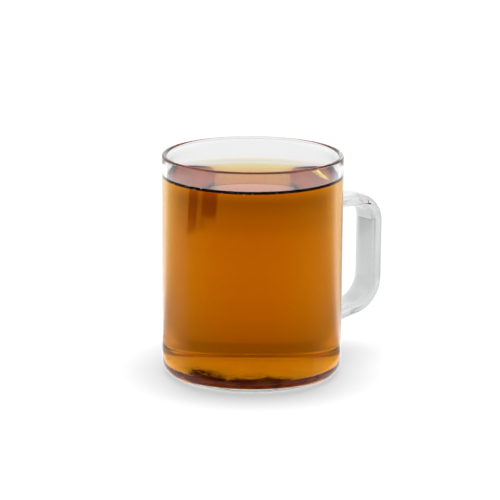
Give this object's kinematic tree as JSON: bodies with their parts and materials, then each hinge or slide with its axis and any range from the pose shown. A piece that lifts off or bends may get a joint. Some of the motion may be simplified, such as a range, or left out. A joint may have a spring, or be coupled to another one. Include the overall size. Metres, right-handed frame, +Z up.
{
  "type": "glass cup of tea",
  "caption": "Clear straight-sided glass mug with a flat strap handle on its side, filled with black tea to just under the rim.",
  "frame": {"origin": "centre of the mug's flat underside", "axes": "+Z up along the mug's axis, +X from that axis towards the handle, +Y across the strap"},
  "size_m": [0.1073, 0.08, 0.0988],
  "materials": {
    "clear_glass": "clear, fire-polished borosilicate glass",
    "black_tea": "clear amber-brown liquid with a mirror-like surface"
  },
  "bodies": {
    "root": {"glass_mug": "clear_glass", "tea": "black_tea"}
  },
  "joints": []
}
